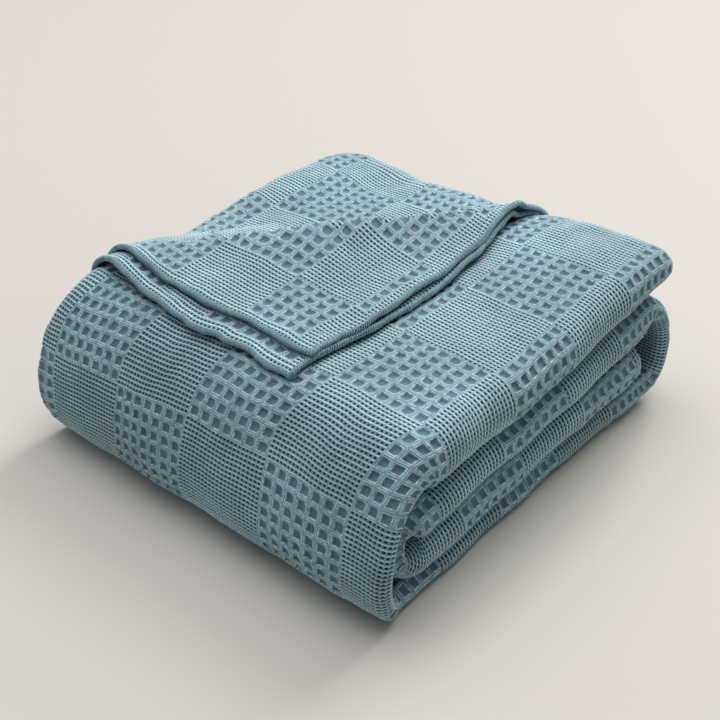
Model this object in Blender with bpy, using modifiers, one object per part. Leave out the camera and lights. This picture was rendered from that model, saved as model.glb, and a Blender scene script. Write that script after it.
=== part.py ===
"""Folded waffle weave cotton blanket, as one cloth.

The cloth is folded lengthways into a strip of four plies, A to D, and the strip is rolled up: it runs
back and forth four times, one run above the other, with ply A always on the outside. On the top run two
of the plies go on past the left end and turn back over the top as a cover of two plies.
Metres, +Z up. X runs along the big front roll, Y from that roll to the back.
"""

import math

import bpy
import numpy as np

NAME = "blanket"
CLOTH = 0.0030  # thickness of the waffle cloth, ridges included
COLOUR = (0.13, 0.29, 0.33, 1.0)

# Each run of the strip, in the order the strip is rolled: where ply A starts and ends along Y, its
# height there, and how far below (or inside) ply A the last ply, D, lies.
# name, y_start, y_end, z_start, z_end, spread_start, spread_end, right_inset, left_inset, rows
RUNS = (
    ("inner", 0.376, 0.050, 0.0340, 0.0205, 0.0375, 0.0320, 0.004, 0.012, 6),
    ("second", 0.050, 0.367, 0.0880, 0.1135, 0.0300, 0.0365, 0.002, 0.012, 10),
    ("bottom", 0.367, 0.020, 0.0010, 0.0010, 0.0265, 0.0140, 0.008, 0.010, 4),
    ("top", 0.058, 0.387, 0.1485, 0.1545, 0.0525, 0.0330, 0.000, 0.013, 11),
)
# The bends between those runs: how far each bulges past the run ends, how far its fullest point leans
# down (negative is up), the spread where its plies are pressed thin, the shares of the bend between which
# they are, and how far it is set in at the ends.
# name, bulge, lean, spread, thin_from, thin_to, right_inset, left_inset, rows
BENDS = (
    ("inner left", 0.035, 0.0, 0.0165, 0.30, 0.70, 0.012, 0.012, 7),
    ("right wrap", 0.0520, 0.0, 0.0145, 0.30, 0.70, 0.003, 0.008, 8),
    ("big roll", 0.0470, 0.20, 0.0150, 0.20, 0.60, 0.000, -0.004, 12),
)
SWELL = 0.24  # the share of a bend over which its plies spread out again

LENGTH = 0.400  # along X, between the folded ends
PLY_B, PLY_C = 1 / 3, 2 / 3  # where the middle plies lie in the spread
# How far plies A and D bulge where they meet at the right end: at most, on no spread, and with the spread
OUTER_FOLD, OUTER_LEAST, OUTER_SHARE = 0.020, 0.0020, 0.42
INNER_FOLD = 0.20  # the depth of the fold of plies B and C, as a share of the spread
LEFT_FOLD = 0.20  # the depth of the fold of plies A and B at the left end, as a share of the spread

# The nose that closes the top run at the back
NOSE = 0.028  # how far it reaches past the run
NOSE_LINE = 0.62  # how far down the spread plies A and D meet
NOSE_ROUND = 0.016  # how much its two corners are rounded in plan
NOSE_ANGLE = math.radians(84)
NOSE_ROWS = 5

# The two cover plies: height over ply A, and the depth of the turn round the left end
LOWER_RISE, UPPER_RISE = 0.0060, 0.0122
TURN_CENTRE, LOWER_TURN, UPPER_TURN = 0.022, 0.0168, 0.022
# Their end hems: Y at the left end and over the middle. Their side hems: X at the front corner, how far
# it swings out half way along, and how far it has come back at the nose.
# name, y_left, y_middle, x_corner, swing_out, swing_back
HEMS = (
    ("lower", 0.058, 0.0455, 0.262, 0.012, 0.026),
    ("upper", 0.081, 0.0660, 0.262, 0.006, 0.018),
)
SWING_OUT, SWING_BACK = (0.05, 0.20), (0.25, 0.40)  # where along Y the side hems swing out and back
HEM_LEFT, HEM_MIDDLE = 0.02, 0.15  # X between which an end hem runs from y_left to y_middle
HEM_FADE = 5.0  # rows over which a cover ply takes up the shift of its end hem

# The crease that crosses the cover from its front left to its back right: the way of its crest in plan,
# and how high it stands over the flat cover there
CREST_X = (0.000, 0.030, 0.060, 0.094, 0.130, 0.160, 0.186, 0.205, 0.222, 0.240, 0.262)
CREST_Y = (0.080, 0.103, 0.127, 0.152, 0.180, 0.208, 0.243, 0.280, 0.318, 0.352, 0.390)
CREST_HEIGHT = (0.0, 0.001, 0.003, 0.0075, 0.013, 0.0145, 0.0135, 0.0100, 0.0085, 0.0080, 0.0060)
CREST_ROUND, CREST_FRONT, CREST_BACK = 0.012, 0.065, 0.030  # its round top, and its reach on each side
LOWER_SHARE = 0.90  # how much of its height the lower cover ply takes up

# The whole stack falls away behind this line, by a share of its height
FALL_FROM, FALL_TO = (0.00, 0.070), (0.24, 0.347)
# At the left end: places behind the line, and the share lost at each
LEFT_BEHIND = (-0.015, 0.005, 0.017, 0.031, 0.047, 0.076, 0.103, 0.131, 0.159, 0.190, 0.207)
LEFT_DROP = (0.000, 0.022, 0.040, 0.080, 0.125, 0.130, 0.100, 0.100, 0.115, 0.140, 0.165)
LEFT_END = (0.01, 0.11)  # where along X that fades into the fall behind the rest of the line
# Elsewhere: the share lost near the left end, at the back, and at the back right corner, and how far
# behind the line the fall starts (at the line's two ends) and ends
DROP_LEFT, DROP_BACK, DROP_RIGHT = 0.100, 0.170, 0.030
BACK_FROM_LEFT, BACK_FROM_RIGHT, BACK_TO = 0.0, -0.035, 0.085
RIGHT_PART = (0.22, 0.33)  # where along X the back turns into the back right corner
BACK_PART = (0.16, 0.38)  # where along Y the left end turns into the back
RIGHT_LIFT = 0.045  # the share by which the whole back right corner stands higher

# The left end of the big roll swells out at its shoulder: how far, at what height, over what reach of
# height, Y and X
SHOULDER, SHOULDER_Z, SHOULDER_HIGH, SHOULDER_DEEP, SHOULDER_LONG = 0.004, 0.116, 0.030, 0.055, 0.10
SOFT = 0.0016  # the height of the soft unevenness


def ramp(value, start, end):
    """0 before start, 1 after end, smooth between."""
    t = np.clip((value - start) / (end - start), 0.0, 1.0)
    return t * t * (3.0 - 2.0 * t)


def run_rows(run, with_start):
    """Rows of one run: y, z, spread, right inset, left inset."""
    _, y0, y1, z0, z1, spread0, spread1, right, left, count = run
    t = np.linspace(0.0, 1.0, count + 1)[0 if with_start else 1:]
    spread = spread0 + (spread1 - spread0) * t
    return np.stack([y0 + (y1 - y0) * t, z0 + (z1 - z0) * t, spread, right + 0 * t, left + 0 * t], axis=1)


def bend_rows(bend, before, after):
    """Rows of the half turn that joins two runs, without its first row."""
    _, bulge, lean, spread, thin_from, thin_to, right, left, count = bend
    side = 1.0 if before[2] > before[1] else -1.0
    turn = np.linspace(0.0, math.pi, count + 1)[1:]
    t = turn / math.pi
    z = before[4] + (after[3] - before[4]) * (1.0 - np.cos(turn)) / 2.0
    y = before[2] + (after[1] - before[2]) * t + side * bulge * np.sin(turn + lean * np.sin(turn))
    squeeze = ramp(t, 0.0, thin_from) * (1.0 - ramp(t, thin_to, thin_to + SWELL))
    width = (before[6] + (after[5] - before[6]) * t) * (1.0 - squeeze) + spread * squeeze
    rights = (before[7] + (after[7] - before[7]) * t) * (1.0 - squeeze) + right * squeeze
    swell = np.sin(turn) ** 2
    lefts = (before[8] + (after[8] - before[8]) * t) * (1.0 - swell) + left * swell
    return np.stack([y, z, width, rights, lefts], axis=1)


def path_rows():
    """Every row along the strip, and the numbers of the first and last rows of the top run."""
    rows = [run_rows(RUNS[0], True)]
    for bend, before, after in zip(BENDS, RUNS, RUNS[1:]):
        rows.append(bend_rows(bend, before, after))
        top_first = sum(len(part) for part in rows) - 1
        rows.append(run_rows(after, False))
    rows = np.concatenate(rows)
    return rows, top_first, len(rows) - 1


def outward(rows):
    """The direction square to the strip and away from the roll's middle, for each row, as y and z."""
    along = np.gradient(rows[:, :2], axis=0)
    along /= np.linalg.norm(along, axis=1)[:, None]
    return np.stack([-along[:, 1], along[:, 0]], axis=1)


def first_row(name, top_first):
    """The row where a cover ply starts: the lower one a row before the top run."""
    return top_first - 1 if name == "lower" else top_first


def side_hem(hem, y):
    """X of a cover ply's side hem at a place along Y."""
    _, _, _, corner, swing_out, swing_back = hem
    return corner + swing_out * ramp(y, *SWING_OUT) - swing_back * ramp(y, *SWING_BACK)


def section(y, spread, right_inset, left_inset):
    """One row of the strip across all its plies: (name, x, height over ply A) for each column."""
    right = LENGTH - right_inset
    deep = min(OUTER_FOLD, OUTER_LEAST + OUTER_SHARE * spread)
    left_depth = LEFT_FOLD * spread
    left = left_inset + left_depth
    columns = []

    def flat(name, x0, x1, count, height):
        columns.extend((name, x, height) for x in np.linspace(x0, x1, count + 1)[:-1])

    def half_turn(name, centre, depth, count, height0, height1):
        middle, half = (height0 + height1) / 2.0, (height0 - height1) / 2.0
        for turn in np.linspace(0.0, math.pi, count + 1)[:-1]:
            columns.append((name, centre + depth * math.sin(turn), middle + half * math.cos(turn)))

    flat("upper", side_hem(HEMS[1], y), TURN_CENTRE, 8, UPPER_RISE)
    half_turn("upper turn", TURN_CENTRE, -UPPER_TURN, 6, UPPER_RISE, -spread)
    flat("d", TURN_CENTRE, right - deep, 7, -spread)
    half_turn("outer fold", right - deep, deep, 7, -spread, 0.0)
    flat("a", right - deep, left, 10, 0.0)
    half_turn("left fold", left, -left_depth, 3, 0.0, -PLY_B * spread)
    flat("b", left, right - deep, 6, -PLY_B * spread)
    half_turn("inner fold", right - deep, INNER_FOLD * spread, 3, -PLY_B * spread, -PLY_C * spread)
    flat("c", right - deep, TURN_CENTRE, 6, -PLY_C * spread)
    half_turn("lower turn", TURN_CENTRE, -LOWER_TURN, 5, -PLY_C * spread, LOWER_RISE)
    flat("lower", TURN_CENTRE, side_hem(HEMS[0], y), 8, LOWER_RISE)
    columns.append(("lower", side_hem(HEMS[0], y), LOWER_RISE))
    return columns


def column_shares(names):
    """How much of its end hem's shift each column takes: all on a cover ply, fading round its turn."""
    shares = []
    for name in names:
        shares.append(1.0 if name in ("upper", "lower") else 0.0)
    for turn, step in (("upper turn", 1), ("lower turn", -1)):
        places = [i for i, name in enumerate(names) if name == turn][::step]
        for order, place in enumerate(places):
            shares[place] = 1.0 - order / len(places)
    return shares


def hem_shift(hem, rows, row, first, x):
    """How many rows further along a cover ply's point lies than its row, so that its hem runs true."""
    _, y_left, y_middle = hem[:3]
    wanted = y_left + (y_middle - y_left) * float(ramp(x, HEM_LEFT, HEM_MIDDLE))
    near = np.arange(first - 3, first + 4)
    place = np.interp(wanted, rows[near, 0], near)
    return (place - first) * max(0.0, 1.0 - (row - first) / HEM_FADE)


def nose_point(x, y, z, direction, spread, height, turn):
    """A point of the top run's rounded end, where turn is 0 at its start and a right angle at its tip."""
    ny, nz = direction
    meet = NOSE_LINE * spread
    closed = -meet + (height + meet) * math.cos(turn)
    reach = (NOSE + max(height, 0.0)) * math.sin(turn)
    side = 2.0 * x / LENGTH - 1.0
    narrow = NOSE_ROUND * side ** 5 * (1.0 - math.cos(turn))
    return x - narrow, y + nz * reach + ny * closed, z - ny * reach + nz * closed


def strip_points(rows, top_first):
    """The whole strip and its nose as points in rows and columns, and the name of each column."""
    out = outward(rows)
    last = len(rows) - 1
    names = [name for name, _, _ in section(*rows[0, [0, 2, 3, 4]])]
    shares = column_shares(names)
    turns = [0.0] * last + list(np.linspace(0.0, NOSE_ANGLE, NOSE_ROWS + 1))
    points = []
    for number, turn in enumerate(turns):
        row = min(number, last)
        plain = section(*rows[row, [0, 2, 3, 4]])
        line = []
        for column, share in enumerate(shares):
            place = float(row)
            hem = HEMS[0] if names[column].startswith("lower") else HEMS[1]
            first = first_row(hem[0], top_first)
            if share and row >= first:
                place += share * hem_shift(hem, rows, row, first, plain[column][1])
            below = min(int(place), last - 1)
            y, z, spread, right, left = rows[below] + (rows[below + 1] - rows[below]) * (place - below)
            direction = out[below] + (out[below + 1] - out[below]) * (place - below)
            _, x, height = section(y, spread, right, left)[column]
            line.append(nose_point(x, y, z, direction, spread, height, turn))
        points.append(line)
    return np.array(points), names


def behind_crest(x, y):
    """How far behind the crest a place lies, in metres."""
    slope = np.gradient(CREST_Y, CREST_X)
    square = 1.0 / np.sqrt(1.0 + np.interp(x, CREST_X, slope) ** 2)
    return (y - np.interp(x, CREST_X, CREST_Y)) * square


def crest_lift(x, y):
    """How far the cover stands up at a place: the crease rises gently and falls steeply behind."""
    behind = behind_crest(x, y)
    width = np.where(behind > 0.0, CREST_BACK, CREST_FRONT)
    away = np.hypot(behind, CREST_ROUND) - CREST_ROUND
    return np.interp(x, CREST_X, CREST_HEIGHT) * np.exp(-away / width)


def behind_fall(x, y):
    """How far along the line of the fall a place lies, from 0 to 1, and how far behind it, in metres."""
    (x0, y0), (x1, y1) = FALL_FROM, FALL_TO
    length = math.hypot(x1 - x0, y1 - y0)
    along_x, along_y = (x1 - x0) / length, (y1 - y0) / length
    share = ((x - x0) * along_x + (y - y0) * along_y) / length
    return share, -(x - x0) * along_y + (y - y0) * along_x


def settle(points):
    """The sag and unevenness of the whole stack, the same for all that lies at one place."""
    x, y, z = points[..., 0].copy(), points[..., 1].copy(), points[..., 2].copy()
    share, behind = behind_fall(x, y)
    start = BACK_FROM_LEFT + (BACK_FROM_RIGHT - BACK_FROM_LEFT) * ramp(share, 0.3, 1.0)
    back = DROP_BACK + (DROP_RIGHT - DROP_BACK) * ramp(x, *RIGHT_PART)
    drop = (DROP_LEFT + (back - DROP_LEFT) * ramp(y, *BACK_PART)) * ramp(behind, start, BACK_TO)
    drop -= RIGHT_LIFT * ramp(x, *RIGHT_PART) * ramp(y, *BACK_PART)
    left = 1.0 - ramp(x, *LEFT_END)
    drop += left * (np.interp(behind, LEFT_BEHIND, LEFT_DROP) - drop)
    z_new = z * (1.0 - drop)
    share = ramp(z, 0.01, 0.15)
    z_new += SOFT * share * np.sin(21.0 * x + 9.0 * y) * np.cos(17.0 * y - 6.0 * x)
    x_new = x + SOFT * np.sin(19.0 * y + 31.0 * z)
    shoulder = np.exp(-((z - SHOULDER_Z) / SHOULDER_HIGH) ** 2) * (1.0 - ramp(y, 0.0, SHOULDER_DEEP))
    x_new -= SHOULDER * shoulder * (1.0 - ramp(x, 0.0, SHOULDER_LONG))
    y_new = y + SOFT * share * np.sin(23.0 * x + 11.0 * z + 1.0)
    return np.stack([x_new, y_new, np.maximum(z_new, CLOTH / 2.0)], axis=-1)


def cloth_faces(names, top_first, strip_last, rows):
    """Quads between neighbouring rows and columns, for the parts of the cloth that are there."""
    inside = ("left fold", "b", "inner fold", "c", "lower turn")
    width = len(names)
    faces = []
    for row in range(rows - 1):
        for column, name in enumerate(names[:-1]):
            cover = name.split()[0]
            if cover in ("upper", "lower") and row < first_row(cover, top_first):
                continue
            if row >= strip_last and name in inside:
                continue
            corner = row * width + column
            faces.append((corner, corner + 1, corner + width + 1, corner + width))
    return faces


def cloth_mesh():
    """The middle surface of the whole cloth, as points and faces."""
    rows, top_first, strip_last = path_rows()
    points, names = strip_points(rows, top_first)
    for cover, share in (("lower", LOWER_SHARE), ("upper", 1.0)):
        columns = [i for i, name in enumerate(names) if name.split()[0] == cover]
        lift = crest_lift(points[:, columns, 0], points[:, columns, 1])
        points[:, columns, 2] += share * lift
    points = settle(points)
    faces = cloth_faces(names, top_first, strip_last, len(points))
    return points.reshape(-1, 3), faces


def fabric():
    material = bpy.data.materials.new("teal cotton")
    material.use_nodes = True
    shader = material.node_tree.nodes["Principled BSDF"]
    shader.inputs["Base Color"].default_value = COLOUR
    shader.inputs["Roughness"].default_value = 0.9
    return material


def build():
    for old in list(bpy.data.objects):
        bpy.data.objects.remove(old)
    points, faces = cloth_mesh()
    used = np.unique(np.array(faces))
    number = np.full(len(points), -1)
    number[used] = np.arange(len(used))
    points = points[used]
    low, high = points.min(axis=0), points.max(axis=0)
    points -= ((low[0] + high[0]) / 2.0, (low[1] + high[1]) / 2.0, 0.0)
    mesh = bpy.data.meshes.new(NAME)
    mesh.from_pydata(points.tolist(), [], [tuple(int(number[i]) for i in face) for face in faces])
    mesh.materials.append(fabric())
    cloth = bpy.data.objects.new(NAME, mesh)
    collection = bpy.data.collections.new("folded waffle blanket")
    bpy.context.scene.collection.children.link(collection)
    collection.objects.link(cloth)
    solid = cloth.modifiers.new("Solidify", "SOLIDIFY")
    solid.thickness = CLOTH
    solid.offset = 0.0


build()
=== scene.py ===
"""The looks of the folded waffle weave blanket: its cloth with every cell of the weave that shows, the
overcast stitches round its hems, and the floor, light and camera of a plain studio picture.
"""

import bisect
import math

import bpy
import numpy as np
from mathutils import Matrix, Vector


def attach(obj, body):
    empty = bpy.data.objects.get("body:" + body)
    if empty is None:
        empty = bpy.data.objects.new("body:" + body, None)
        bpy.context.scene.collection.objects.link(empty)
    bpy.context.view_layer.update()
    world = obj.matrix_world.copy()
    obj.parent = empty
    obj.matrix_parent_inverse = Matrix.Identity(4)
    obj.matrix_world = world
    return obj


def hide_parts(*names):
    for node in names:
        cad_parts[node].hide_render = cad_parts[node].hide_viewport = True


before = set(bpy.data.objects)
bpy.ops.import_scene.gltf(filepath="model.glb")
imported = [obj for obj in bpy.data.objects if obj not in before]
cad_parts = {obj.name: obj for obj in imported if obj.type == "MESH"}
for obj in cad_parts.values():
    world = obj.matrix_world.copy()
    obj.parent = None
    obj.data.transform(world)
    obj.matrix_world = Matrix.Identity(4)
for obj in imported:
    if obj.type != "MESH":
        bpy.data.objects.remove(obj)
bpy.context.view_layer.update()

# ---- The cloth ---------------------------------------------------------------
# One sheet of teal waffle cotton. It is folded lengthways into a strip of four plies, A to D, and rolled
# up; two of the plies come round the left end and lie over the top as a cover. Each cell of the weave is
# modelled where it shows.

# How the strip lies: where ply A starts and ends along Y on each run, its height, and how far below it
# the last ply lies.
# name, y_start, y_end, z_start, z_end, spread_start, spread_end, right_inset, left_inset
RUNS = (
    ("inner", 0.376, 0.050, 0.0340, 0.0205, 0.0375, 0.0320, 0.004, 0.012),
    ("second", 0.050, 0.367, 0.0880, 0.1135, 0.0300, 0.0365, 0.002, 0.012),
    ("bottom", 0.367, 0.020, 0.0010, 0.0010, 0.0265, 0.0140, 0.008, 0.010),
    ("top", 0.058, 0.387, 0.1485, 0.1545, 0.0525, 0.0330, 0.000, 0.012),
)
# The half turns that join the runs: how far they bulge out and lean, how thin the strip gets in them, and
# between which shares of the turn it is that thin.
# name, bulge, lean, spread, thin_from, thin_to, right_inset, left_inset
BENDS = (
    ("inner left", 0.035, 0.0, 0.0165, 0.30, 0.70, 0.012, 0.012),
    ("right wrap", 0.0520, 0.0, 0.0145, 0.30, 0.70, 0.003, 0.008),
    ("big roll", 0.0470, 0.20, 0.0150, 0.20, 0.60, 0.000, -0.004),
)
SWELL = 0.24  # the share of a bend over which its plies spread out again
STEPS, ACROSS = 80, 40  # rows in each run and bend, and points across ply A in each row
SOFT_ROWS = 9  # rows over which the strip's direction is evened out

LENGTH = 0.400  # along X, between the folded ends
PLY_B, PLY_C = 1 / 3, 2 / 3  # how far down the spread they lie, from ply A to ply D
# The fold from ply A to ply D at the right end: how deep at most, at least, and by the spread
OUTER_FOLD, FOLD_LEAST, FOLD_SHARE = 0.020, 0.0020, 0.42
INNER_FOLD, LEFT_FOLD = 0.20, 0.20  # how deep the folds from B to C and from A to B are, by the spread
# The top run ends in a nose at the back: how far it reaches, how far down the spread its plies meet, how far
# its two ends draw in, by what power of the way to them, and how far it turns down
NOSE, NOSE_LINE, NOSE_ROUND, NOSE_POWER = 0.028, 0.62, 0.016, 5
NOSE_ANGLE = math.radians(88)
# The cover: how high its two plies lie over ply A, and the half turns that bring them round the left end
LOWER_RISE, UPPER_RISE = 0.0056, 0.0112
TURN_CENTRE, LOWER_TURN, UPPER_TURN = 0.022, 0.0165, 0.022
# Its hems: where an end hem lies at the left end and in the middle, and where a side hem starts and swings.
# name, y_left, y_middle, x_corner, swing_out, swing_back
HEMS = (
    ("lower", 0.058, 0.0455, 0.262, 0.012, 0.026),
    ("upper", 0.075, 0.0660, 0.262, 0.006, 0.018),
)
SWING_OUT, SWING_BACK = (0.05, 0.20), (0.25, 0.40)  # where along Y the side hems swing out and back
HEM_LEFT, HEM_MIDDLE = 0.02, 0.15  # X between which an end hem runs from y_left to y_middle

# The weave, counted in cells: columns across the strip and rows along it.
PATCH = 7  # cells in a patch, each way
CELL = 0.0855 / PATCH  # large cells are this far apart
FIRST_ROW = -1.31  # the row at the strip's inner start
ROW_FROM, ROW_LAST, ROW_END = -1, 145, 148  # the strip's start, the end of its inner plies, the nose's tip
PATCH_X = (0.020, 0.101, 0.182, 0.272, 0.361)  # where the patches change along the roll
SKEW, SKEW_FROM, SKEW_TO = 0.016, 1.389, 1.476  # how far the columns lean to the right up the roll
ROLL_SKEW = 0.012  # how much lower the rows run at the roll's left end
ROLL_SKEW_X = (0.0, 0.20)  # where along X that ends
ROLL_SKEW_FROM, ROLL_SKEW_TO = (1.0, 1.25), (1.46, 1.60)  # where along the strip it starts and ends
# The column at each change from fold to flat, outwards from ply A on both sides
LOWER_HEM, LOWER_FLAT, C_LEFT, C_RIGHT, B_RIGHT = -88, -68, -63, -34, -32
D_LEFT, UPPER_FLAT, UPPER_HEM = 65, 70, 90
INNER_FROM = -2  # the column in the left fold where the inner plies, B and C, begin
LOWER_ROW, UPPER_ROW = 118, 120  # the rows of the cover's two end hems
SLIP = 0.014  # how far the cover lies forward of the rows it belongs to
SLIP_FADE = (126, 147)  # the rows over which that ends
HEM_FADE = 13  # rows over which the cover takes up the slant of its end hem


def ramp(value, start, end):
    """0 before start, 1 after end, smooth between."""
    t = np.clip((value - start) / (end - start), 0.0, 1.0)
    return t * t * (3.0 - 2.0 * t)


def run_rows(run):
    """Rows of one run: y, z, spread, right inset, left inset."""
    _, y0, y1, z0, z1, spread0, spread1, right, left = run
    t = np.linspace(0.0, 1.0, STEPS)[1:-1]
    spread = spread0 + (spread1 - spread0) * t
    return np.stack([y0 + (y1 - y0) * t, z0 + (z1 - z0) * t, spread, right + 0 * t, left + 0 * t], axis=1)


def bend_rows(bend, before, after):
    """Rows of the half turn that joins two runs."""
    _, bulge, lean, spread, thin_from, thin_to, right, left = bend
    _, y_before, y0, _, z0, _, spread0, right0, left0 = before
    _, y1, _, z1, _, spread1, _, right1, left1 = after
    side = 1.0 if y0 > y_before else -1.0
    turn = np.linspace(0.0, math.pi, STEPS)
    t = turn / math.pi
    z = z0 + (z1 - z0) * (1.0 - np.cos(turn)) / 2.0
    y = y0 + (y1 - y0) * t + side * bulge * np.sin(turn + lean * np.sin(turn))
    squeeze = ramp(t, 0.0, thin_from) * (1.0 - ramp(t, thin_to, thin_to + SWELL))
    width = (spread0 + (spread1 - spread0) * t) * (1.0 - squeeze) + spread * squeeze
    rights = (right0 + (right1 - right0) * t) * (1.0 - squeeze) + right * squeeze
    swell = np.sin(turn) ** 2
    lefts = (left0 + (left1 - left0) * t) * (1.0 - swell) + left * swell
    return np.stack([y, z, width, rights, lefts], axis=1)


# The columns of the table of the strip's rows: how far along it, y and z of ply A, the spread, the insets at
# both ends, the way outwards, and how far the nose has turned
ALONG, Y, Z, SPREAD, RIGHT, LEFT, OUT_Y, OUT_Z, TURN = range(9)


def strip_path():
    """The table of the strip's rows, from its inner start to the tip of the nose."""
    rows = [run_rows(RUNS[0])]
    for bend, before, after in zip(BENDS, RUNS, RUNS[1:]):
        rows += [bend_rows(bend, before, after), run_rows(after)]
    rows = np.concatenate(rows)
    gone = np.linalg.norm(np.diff(rows[:, :2], axis=0), axis=1)
    along = np.concatenate([[0.0], np.cumsum(gone)])
    ahead = np.gradient(rows[:, :2], axis=0)
    ahead /= np.linalg.norm(ahead, axis=1)[:, None]
    even = np.ones(SOFT_ROWS) / SOFT_ROWS
    padded = np.pad(ahead, ((SOFT_ROWS // 2, SOFT_ROWS // 2), (0, 0)), mode="edge")
    ahead = np.stack([np.convolve(padded[:, k], even, mode="valid") for k in (0, 1)], axis=1)
    ahead /= np.linalg.norm(ahead, axis=1)[:, None]
    table = np.column_stack([along, rows, -ahead[:, 1], ahead[:, 0], 0 * along])
    nose = np.repeat(table[-1:], STEPS, axis=0)
    share = np.linspace(0.0, 1.0, STEPS + 1)[1:]
    nose[:, ALONG] += ((ROW_END - FIRST_ROW) * CELL - along[-1]) * share
    nose[:, TURN] = NOSE_ANGLE * share
    return np.concatenate([table, nose])


def half_turn(centre, depth, height0, height1, count=14):
    """Points of a fold from one height to another: x and height."""
    turn = np.linspace(0.0, math.pi, count + 1)
    middle, half = (height0 + height1) / 2.0, (height0 - height1) / 2.0
    return np.stack([centre + depth * np.sin(turn), middle + half * np.cos(turn)], axis=1)


def counted(points, first, last=None):
    """Adds the column to each point, by its way along them: from first to last, or in whole cells."""
    way = np.concatenate([[0.0], np.cumsum(np.linalg.norm(np.diff(points, axis=0), axis=1))])
    columns = first + way / CELL if last is None else first + (last - first) * way / way[-1]
    return np.column_stack([columns, points])


def side_hem(hem, y):
    """X of a cover ply's side hem at a place along Y."""
    _, _, _, corner, swing_out, swing_back = hem
    return corner + swing_out * ramp(y, *SWING_OUT) - swing_back * ramp(y, *SWING_BACK)


def section(along, y, spread, right_inset, left_inset):
    """The strip cut across at one row: column, x and height over ply A for points along all its plies."""
    right = LENGTH - right_inset
    deep = min(OUTER_FOLD, FOLD_LEAST + FOLD_SHARE * spread)
    depth = LEFT_FOLD * spread
    left = left_inset + depth
    edge = right - deep
    lean = SKEW * ramp(along, SKEW_FROM, SKEW_TO)
    patch_x = np.array(PATCH_X) + lean
    x = np.linspace(left, edge, ACROSS)
    cells = PATCH * np.arange(len(PATCH_X))
    columns = np.interp(x, patch_x, cells)
    columns = np.where(x < patch_x[0], (x - patch_x[0]) / CELL, columns)
    columns = np.where(x > patch_x[-1], cells[-1] + (x - patch_x[-1]) / CELL, columns)
    ply_a = np.column_stack([columns, x, 0 * x])
    fold_a = counted(half_turn(left, -depth, 0.0, -PLY_B * spread), 0.0)
    fold_a[:, 0] = columns[0] - fold_a[:, 0]
    fold_d = counted(half_turn(edge, deep, 0.0, -spread), columns[-1])

    def flat(x0, x1, height, first, last):
        """A straight piece at one height."""
        return counted(np.array([(x0, height), (x1, height)]), first, last)

    b, c = -PLY_B * spread, -PLY_C * spread
    pieces = [
        flat(side_hem(HEMS[0], y), TURN_CENTRE, LOWER_RISE, LOWER_HEM, LOWER_FLAT),
        counted(half_turn(TURN_CENTRE, -LOWER_TURN, LOWER_RISE, c), LOWER_FLAT, C_LEFT),
        flat(TURN_CENTRE, edge, c, C_LEFT, C_RIGHT),
        counted(half_turn(edge, INNER_FOLD * spread, c, b), C_RIGHT, B_RIGHT),
        flat(edge, left, b, B_RIGHT, fold_a[-1, 0]),
        fold_a[::-1],
        ply_a,
        fold_d,
        flat(edge, TURN_CENTRE, -spread, fold_d[-1, 0], D_LEFT),
        counted(half_turn(TURN_CENTRE, -UPPER_TURN, -spread, UPPER_RISE), D_LEFT, UPPER_FLAT),
        flat(TURN_CENTRE, side_hem(HEMS[1], y), UPPER_RISE, UPPER_FLAT, UPPER_HEM),
    ]
    return np.concatenate(pieces)


def cover_share(columns):
    """How far a column belongs to the upper ply of the cover, and how far to the lower one, from 0 to 1."""
    upper = np.clip((columns - D_LEFT) / (UPPER_FLAT - D_LEFT), 0.0, 1.0)
    lower = np.clip((C_LEFT - columns) / (C_LEFT - LOWER_FLAT), 0.0, 1.0)
    return upper, lower


# The crease that crosses the cover from its front left to its back right: the way of its crest in plan,
# and how high it stands over the flat cover there
CREST_X = (0.000, 0.030, 0.060, 0.094, 0.130, 0.160, 0.186, 0.205, 0.222, 0.240, 0.262)
CREST_Y = (0.080, 0.103, 0.127, 0.152, 0.180, 0.208, 0.243, 0.280, 0.318, 0.352, 0.390)
CREST_HEIGHT = (0.0, 0.001, 0.003, 0.0075, 0.013, 0.0145, 0.0135, 0.0100, 0.0085, 0.0080, 0.0060)
CREST_ROUND, CREST_FRONT, CREST_BACK = 0.002, 0.065, 0.005  # its round top, and its reach on each side
# The cloth stands up more steeply next to the crest than the solid does: by how much of the crest's height,
# over what reach, and how far the crest comes forward for it
CREST_STEEP, CREST_NEAR, CREST_FORWARD = 0.55, 0.018, 0.004
LOWER_SHARE = 0.78  # how much of the crest's height the lower cover ply takes up
CREST_APART = 0.011  # how far the lower ply's crest lies in front of the upper one's

# The whole stack falls away behind this line, by a share of its height
FALL_FROM, FALL_TO = (0.00, 0.070), (0.24, 0.347)
# At the left end: places behind the line, and the share lost at each
LEFT_BEHIND = (-0.015, 0.005, 0.017, 0.031, 0.047, 0.076, 0.103, 0.131, 0.159, 0.190, 0.207)
LEFT_DROP = (0.000, 0.022, 0.040, 0.080, 0.125, 0.130, 0.100, 0.100, 0.115, 0.140, 0.165)
LEFT_END = (0.01, 0.11)  # where along X that fades into the fall behind the rest of the line
# Elsewhere: the share lost near the left end, at the back, and at the back right corner, and how far
# behind the line the fall starts (at the line's two ends) and ends
DROP_LEFT, DROP_BACK, DROP_RIGHT = 0.100, 0.170, 0.030
BACK_FROM_LEFT, BACK_FROM_RIGHT, BACK_TO = 0.0, -0.035, 0.085
BACK_CHANGE = (0.3, 1.0)  # where along the line its start changes from the one to the other
RIGHT_PART = (0.22, 0.33)  # where along X the back turns into the back right corner
BACK_PART = (0.16, 0.38)  # where along Y the left end turns into the back
RIGHT_LIFT = 0.045  # the share by which the whole back right corner stands higher
# Behind the crest the stack falls at once, over this reach, fading in and out along the fall's line
CREST_FALL, SHARP_FROM, SHARP_TO = 0.018, (0.10, 0.35), (0.90, 1.15)

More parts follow.
